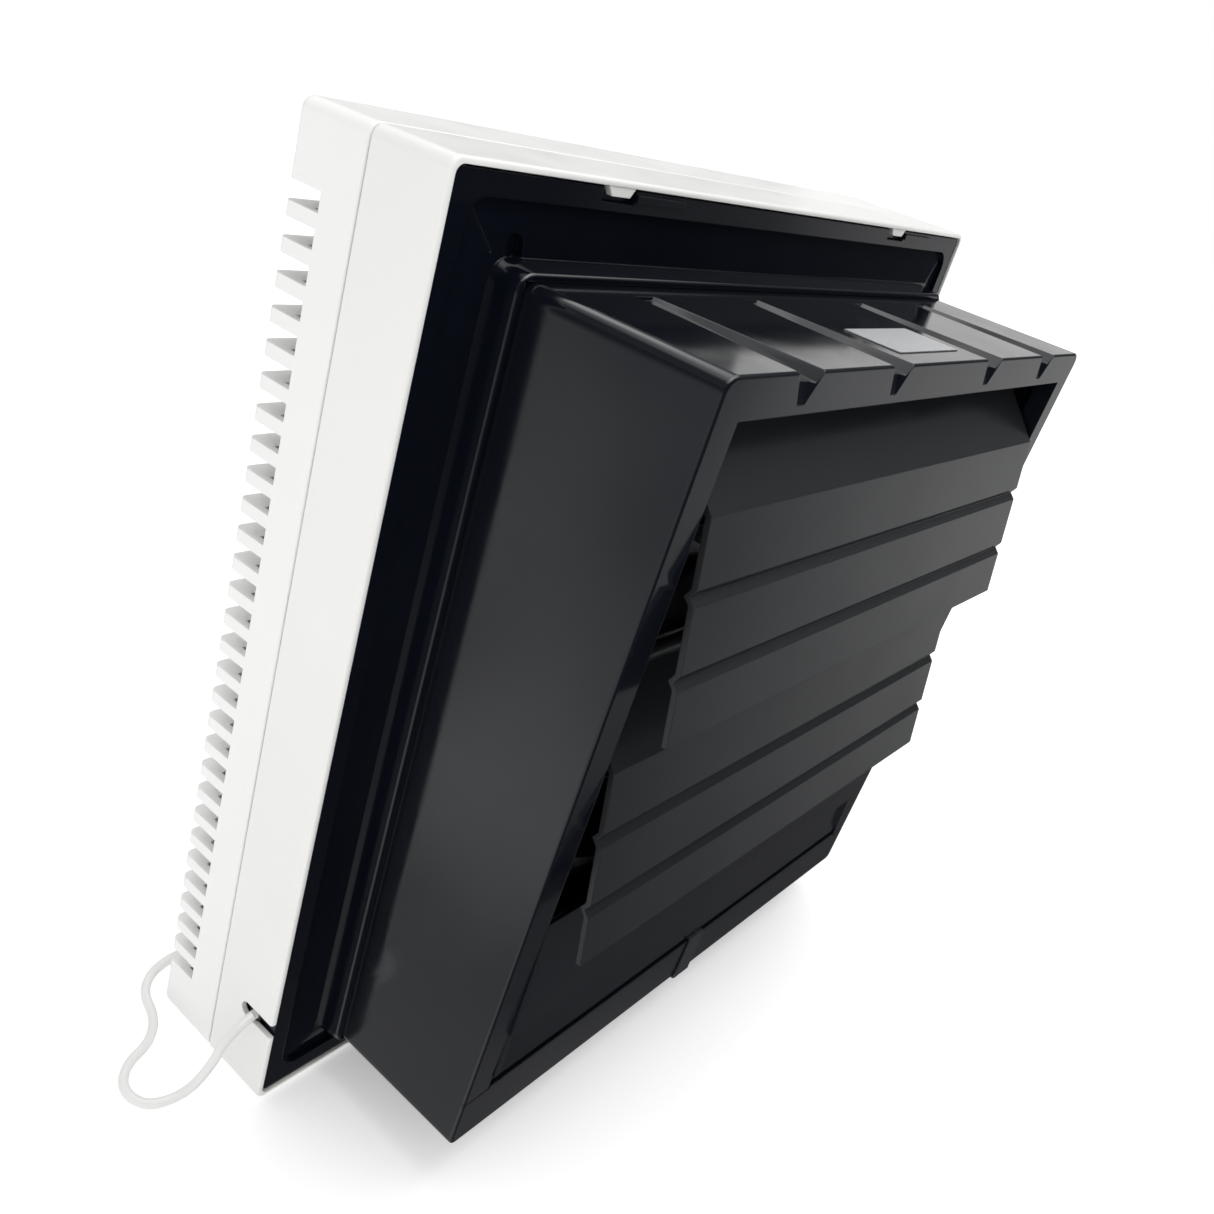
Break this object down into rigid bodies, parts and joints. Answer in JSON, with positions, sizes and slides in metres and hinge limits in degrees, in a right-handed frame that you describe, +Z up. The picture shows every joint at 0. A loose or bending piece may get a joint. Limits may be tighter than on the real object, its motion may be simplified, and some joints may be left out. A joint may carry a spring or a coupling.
{
  "type": "wall ventilation fan with rain hood",
  "caption": "Square wall fan: white frame and slotted room grille, black outdoor rain hood with gravity flaps, axial impeller and motor inside, low-voltage lead.",
  "frame": {"origin": "centre of the fan's footprint, at the lower edge of its frame and grille", "axes": "+Z up, -Y outdoors (hood and flaps), +Y into the room (grille), +X to the right seen from outdoors"},
  "size_m": [0.3818, 0.2239, 0.345],
  "materials": {
    "frame_white": "gloss",
    "grille_white": "satin",
    "plate_black": "gloss",
    "hood_black": "satin",
    "apron_black": "satin",
    "clip_black": "matte",
    "label_silver": "satin",
    "flap_upper_black": "satin",
    "flap_lower_black": "satin",
    "pin_steel": "brushed",
    "bush_nylon": "matte",
    "orifice_black": "matte",
    "screw_steel": "zinc plated",
    "impeller_plastic": "satin",
    "shaft_steel": "ground",
    "motor_steel": "satin",
    "bearing_steel": "polished",
    "laminations": "matte",
    "copper": "enamelled",
    "magnet": "matte",
    "bracket_steel": "satin",
    "rubber": "matte",
    "box_plastic": "matte",
    "board": "satin",
    "block_plastic": "matte",
    "cord_white": "satin",
    "lead_black": "satin",
    "tie_black": "satin",
    "plug_black": "satin"
  },
  "bodies": {
    "housing": {"frame_shell": "frame_white", "room_grille": "grille_white", "body_plate": "plate_black", "hood_shell": "hood_black", "lower_apron": "apron_black", "apron_clip": "clip_black", "rating_label": "label_silver", "flap_bushes": "bush_nylon", "orifice_plate": "orifice_black", "plate_screws": "screw_steel", "frame_screws": "screw_steel", "motor_front_shell": "motor_steel", "motor_rear_shell": "motor_steel", "bearing_front": "bearing_steel", "bearing_rear": "bearing_steel", "stator_core": "laminations", "stator_coils": "copper", "spider_bracket": "bracket_steel", "rubber_mounts": "rubber", "bracket_screws": "screw_steel", "motor_screws": "screw_steel", "terminal_box": "box_plastic", "terminal_cover": "box_plastic", "cover_screws": "screw_steel", "driver_board": "board", "terminal_block": "block_plastic", "lead_grommet": "rubber", "inner_lead": "cord_white", "motor_lead": "lead_black", "lead_ties": "tie_black", "cord_tube": "cord_white", "cord_coil": "cord_white", "cord_tail": "cord_white", "coil_tie": "tie_black", "dc_plug": "plug_black"},
    "rotor": {"impeller": "impeller_plastic", "hub_nut": "shaft_steel", "motor_shaft": "shaft_steel", "rotor_magnet": "magnet"},
    "upper_flap": {"flap_upper": "flap_upper_black", "flap_pins_upper": "pin_steel"},
    "lower_flap": {"flap_lower": "flap_lower_black", "flap_pins_lower": "pin_steel"}
  },
  "joints": [
    {"name": "impeller_spin", "type": "hinge", "parent": "housing", "child": "rotor", "pos_m": [0, 0.01481, 0.1725], "axis": [0, 1, 0], "continuous": true},
    {"name": "flap_upper_swing", "type": "hinge", "parent": "housing", "child": "upper_flap", "pos_m": [0, -0.04421, 0.2995], "axis": [-1, 0, 0], "range_deg": [0, 38]},
    {"name": "flap_lower_swing", "type": "hinge", "parent": "housing", "child": "lower_flap", "pos_m": [0, -0.0412, 0.2115], "axis": [-1, 0, 0], "range_deg": [0, 38]}
  ]
}
